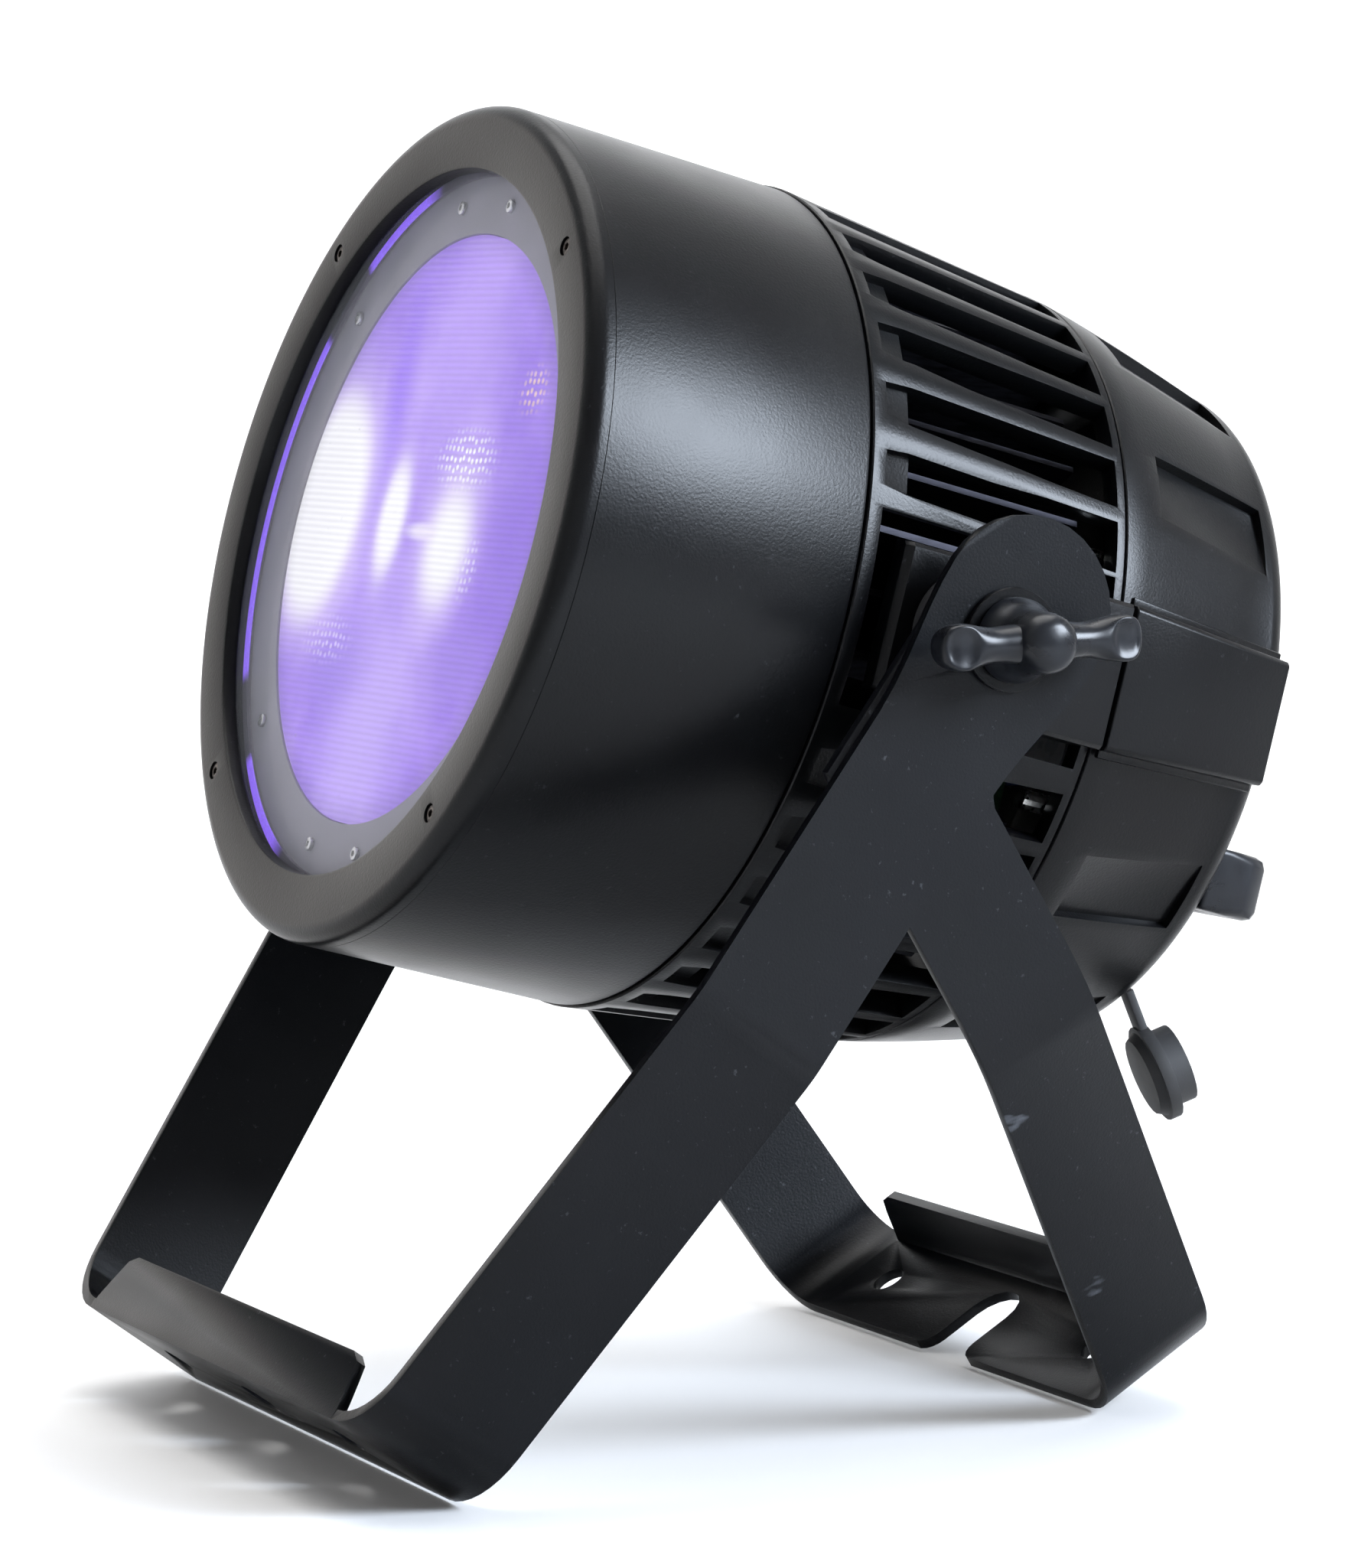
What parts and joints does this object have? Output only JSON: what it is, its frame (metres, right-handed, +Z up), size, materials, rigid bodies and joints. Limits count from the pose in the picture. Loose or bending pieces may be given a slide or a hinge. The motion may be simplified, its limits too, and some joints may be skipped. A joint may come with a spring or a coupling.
{
  "type": "par can light",
  "caption": "Stage par can light: round barrel head with a lit front lens, ribbed vented body and rear cover, on a double yoke that also stands on the floor.",
  "frame": {"origin": "on the floor under the middle of the bounding box", "axes": "+X along the tilt axis, the beam points to -Y and up, +Z up"},
  "size_m": [0.3322, 0.3157, 0.3694],
  "materials": {
    "painted_casting": "cast aluminium with fine-textured satin black powder coat",
    "black_paint": "fine-textured satin black powder coat",
    "dark_screw": "blackened steel",
    "bright_steel": "zinc-plated steel",
    "clear_glass": "clear toughened glass",
    "lit_lens": "frosted lens lit violet",
    "black_rubber": "matt rubber",
    "button_rubber": "silicone",
    "grey_mask": "matt grey paint",
    "polished_reflector": "polished",
    "led_phosphor": "phosphor",
    "white_board": "white solder mask",
    "green_board": "green solder mask",
    "plain_aluminium": "milled",
    "black_anodised": "black anodised",
    "display_window": "clear over dark",
    "socket_black": "moulded",
    "socket_blue": "moulded blue",
    "socket_grey": "moulded grey",
    "knob_plastic": "glass-filled nylon",
    "handle_plastic": "textured"
  },
  "bodies": {
    "front_yoke": {"front_yoke": "black_paint"},
    "head": {"bezel_screw_1": "dark_screw", "bezel_screw_2": "dark_screw", "bezel_screw_3": "dark_screw", "bezel_screw_4": "dark_screw", "cover_block_left": "painted_casting", "cover_block_right": "painted_casting", "data_in": "socket_black", "data_out": "socket_black", "diffuser_lens": "lit_lens", "display_window": "display_window", "driver_board": "green_board", "friction_pad_left": "black_rubber", "friction_pad_right": "black_rubber", "front_barrel": "painted_casting", "front_bezel": "painted_casting", "front_glass": "clear_glass", "glass_gasket": "black_rubber", "heat_sink": "black_anodised", "heat_spreader": "plain_aluminium", "led_array": "led_phosphor", "led_board": "white_board", "lens_retainer": "painted_casting", "mask_ring": "grey_mask", "mask_screw_1": "bright_steel", "mask_screw_2": "bright_steel", "mask_screw_3": "bright_steel", "mask_screw_4": "bright_steel", "mask_screw_5": "bright_steel", "mask_screw_6": "bright_steel", "mask_screw_7": "bright_steel", "mask_screw_8": "bright_steel", "mixing_reflector": "polished_reflector", "pivot_arm_left": "painted_casting", "pivot_arm_right": "painted_casting", "power_in": "socket_blue", "power_out": "socket_grey", "power_supply": "plain_aluminium", "rear_cover": "painted_casting", "rear_handle": "handle_plastic", "rear_panel": "painted_casting", "rear_standoff_1": "bright_steel", "rear_standoff_2": "bright_steel", "rear_standoff_3": "bright_steel", "rear_standoff_4": "bright_steel", "vented_cage": "painted_casting"},
    "rear_yoke": {"rear_yoke": "black_paint"},
    "knob_right": {"wing_knob_right": "knob_plastic", "pivot_stud_right": "bright_steel", "knob_washer_right": "dark_screw"},
    "knob_left": {"wing_knob_left": "knob_plastic", "pivot_stud_left": "bright_steel", "knob_washer_left": "dark_screw"},
    "socket_cap": {"socket_cap": "black_rubber"},
    "menu_button_1": {"menu_button_1": "button_rubber"},
    "menu_button_2": {"menu_button_2": "button_rubber"},
    "menu_button_3": {"menu_button_3": "button_rubber"},
    "menu_button_4": {"menu_button_4": "button_rubber"}
  },
  "joints": [
    {"name": "head_tilt", "type": "hinge", "parent": "front_yoke", "child": "head", "pos_m": [0, 0.0225, 0.22335], "axis": [1, 0, 0], "range_deg": [-80, 106]},
    {"name": "rear_yoke_swing", "type": "hinge", "parent": "front_yoke", "child": "rear_yoke", "pos_m": [0, 0.0225, 0.22335], "axis": [1, 0, 0], "range_deg": [-67.5, 45]},
    {"name": "knob_right_turn", "type": "hinge", "parent": "front_yoke", "child": "knob_right", "pos_m": [0.14, 0.0225, 0.22335], "axis": [1, 0, 0], "range_deg": [-180, 180]},
    {"name": "knob_left_turn", "type": "hinge", "parent": "front_yoke", "child": "knob_left", "pos_m": [-0.14, 0.0225, 0.22335], "axis": [-1, 0, 0], "range_deg": [-180, 180]},
    {"name": "socket_cap_swing", "type": "hinge", "parent": "head", "child": "socket_cap", "pos_m": [0.049, 0.11221, 0.11074], "axis": [0.9659, -0.2588, 0], "range_deg": [-12, 90]},
    {"name": "menu_button_1_press", "type": "slide", "parent": "head", "child": "menu_button_1", "axis": [0, -0.9588, 0.284], "range_m": [0, 0.0012], "stiffness_N_per_m": 300},
    {"name": "menu_button_2_press", "type": "slide", "parent": "head", "child": "menu_button_2", "axis": [0, -0.9588, 0.284], "range_m": [0, 0.0012], "stiffness_N_per_m": 300},
    {"name": "menu_button_3_press", "type": "slide", "parent": "head", "child": "menu_button_3", "axis": [0, -0.9588, 0.284], "range_m": [0, 0.0012], "stiffness_N_per_m": 300},
    {"name": "menu_button_4_press", "type": "slide", "parent": "head", "child": "menu_button_4", "axis": [0, -0.9588, 0.284], "range_m": [0, 0.0012], "stiffness_N_per_m": 300}
  ]
}
